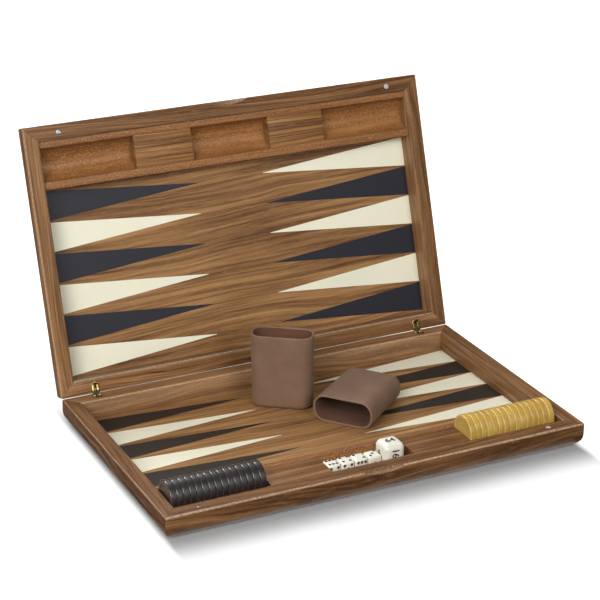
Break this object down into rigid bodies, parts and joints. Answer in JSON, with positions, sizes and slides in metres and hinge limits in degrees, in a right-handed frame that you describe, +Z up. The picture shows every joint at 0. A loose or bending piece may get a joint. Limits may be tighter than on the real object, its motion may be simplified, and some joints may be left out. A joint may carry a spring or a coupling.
{
  "type": "backgammon set",
  "caption": "Folding wooden backgammon case with hinged lid, inlaid fields, trough storage, checkers, dice, doubling cube and two oval dice cups.",
  "frame": {"origin": "centre of the base's underside", "axes": "+X along the hinge edge to the right as a player at the free edge sees it, +Y towards the hinge, +Z up"},
  "size_m": [0.48, 0.4076, 0.3104],
  "materials": {
    "walnut": "satin oiled walnut",
    "walnut_field": "satin walnut veneer with dark and ivory inlaid points",
    "sapele": "polished red-brown hardwood",
    "brass": "polished brass",
    "steel": "nickel-plated magnet",
    "leather": "matte brown leather",
    "dark": "glossy dark brown resin",
    "amber": "glossy amber resin",
    "ivory": "glossy ivory white resin"
  },
  "bodies": {
    "base": {"base_rail_front": "walnut", "base_rail_back": "walnut", "base_rail_left": "walnut", "base_rail_right": "walnut", "base_field_panel": "walnut_field", "base_trough": "sapele", "base_plug_left": "walnut", "base_plug_right": "walnut", "base_magnet_left": "steel", "base_magnet_right": "steel", "base_hinge_left": "brass", "base_hinge_right": "brass", "hinge_pin_left": "brass", "hinge_pin_right": "brass"},
    "lid": {"lid_rail_free": "walnut", "lid_rail_hinge": "walnut", "lid_rail_left": "walnut", "lid_rail_right": "walnut", "lid_field_panel": "walnut_field", "lid_trough": "sapele", "lid_plug_left": "walnut", "lid_plug_right": "walnut", "lid_magnet_left": "steel", "lid_magnet_right": "steel", "lid_hinge_left": "brass", "lid_hinge_right": "brass"},
    "standing_dice_cup": {"dice_cup_standing": "leather"},
    "lying_dice_cup": {"dice_cup_lying": "leather"},
    "dark_stack_1": {"dark_checkers_1": "dark"},
    "dark_stack_2": {"dark_checkers_2": "dark"},
    "dark_stack_3": {"dark_checkers_3": "dark"},
    "dark_stack_4": {"dark_checkers_4": "dark"},
    "dark_stack_5": {"dark_checkers_5": "dark"},
    "amber_stack_1": {"amber_checkers_1": "amber"},
    "amber_stack_2": {"amber_checkers_2": "amber"},
    "amber_stack_3": {"amber_checkers_3": "amber"},
    "amber_stack_4": {"amber_checkers_4": "amber"},
    "amber_stack_5": {"amber_checkers_5": "amber"},
    "die_1_body": {"die_1": "ivory"},
    "die_2_body": {"die_2": "ivory"},
    "die_3_body": {"die_3": "ivory"},
    "die_4_body": {"die_4": "ivory"},
    "doubling_cube_body": {"doubling_cube": "ivory"}
  },
  "joints": [
    {"name": "lid_fold", "type": "hinge", "parent": "base", "child": "lid", "pos_m": [0, 0.1482, 0.02815], "axis": [-1, 0, 0], "range_deg": [-107.4, 0]},
    {"name": "standing_cup_tip", "type": "hinge", "parent": "base", "child": "standing_dice_cup", "pos_m": [-0.01662, 0.06537, 0.0053], "axis": [0.8121, -0.5835, 0], "range_deg": [0, 90]},
    {"name": "lying_cup_lift", "type": "slide", "parent": "base", "child": "lying_dice_cup", "axis": [0, 0, 1], "range_m": [0, 0.08]},
    {"name": "dark_stack_1_lift", "type": "slide", "parent": "base", "child": "dark_stack_1", "axis": [0, 0, 1], "range_m": [0, 0.06]},
    {"name": "dark_stack_2_lift", "type": "slide", "parent": "base", "child": "dark_stack_2", "axis": [0, 0, 1], "range_m": [0, 0.06]},
    {"name": "dark_stack_3_lift", "type": "slide", "parent": "base", "child": "dark_stack_3", "axis": [0, 0, 1], "range_m": [0, 0.06]},
    {"name": "dark_stack_4_lift", "type": "slide", "parent": "base", "child": "dark_stack_4", "axis": [0, 0, 1], "range_m": [0, 0.06]},
    {"name": "dark_stack_5_lift", "type": "slide", "parent": "base", "child": "dark_stack_5", "axis": [0, 0, 1], "range_m": [0, 0.06]},
    {"name": "amber_stack_1_lift", "type": "slide", "parent": "base", "child": "amber_stack_1", "axis": [0, 0, 1], "range_m": [0, 0.06]},
    {"name": "amber_stack_2_lift", "type": "slide", "parent": "base", "child": "amber_stack_2", "axis": [0, 0, 1], "range_m": [0, 0.06]},
    {"name": "amber_stack_3_lift", "type": "slide", "parent": "base", "child": "amber_stack_3", "axis": [0, 0, 1], "range_m": [0, 0.06]},
    {"name": "amber_stack_4_lift", "type": "slide", "parent": "base", "child": "amber_stack_4", "axis": [0, 0, 1], "range_m": [0, 0.06]},
    {"name": "amber_stack_5_lift", "type": "slide", "parent": "base", "child": "amber_stack_5", "axis": [0, 0, 1], "range_m": [0, 0.06]},
    {"name": "die_1_lift", "type": "slide", "parent": "base", "child": "die_1_body", "axis": [0, 0, 1], "range_m": [0, 0.05]},
    {"name": "die_2_lift", "type": "slide", "parent": "base", "child": "die_2_body", "axis": [0, 0, 1], "range_m": [0, 0.05]},
    {"name": "die_3_lift", "type": "slide", "parent": "base", "child": "die_3_body", "axis": [0, 0, 1], "range_m": [0, 0.05]},
    {"name": "die_4_lift", "type": "slide", "parent": "base", "child": "die_4_body", "axis": [0, 0, 1], "range_m": [0, 0.05]},
    {"name": "doubling_cube_lift", "type": "slide", "parent": "base", "child": "doubling_cube_body", "axis": [0, 0, 1], "range_m": [0, 0.06]}
  ],
  "couplings": [
    {"joint": "standing_cup_tip", "follows": "lid_fold", "ratio": -0.83799}
  ]
}
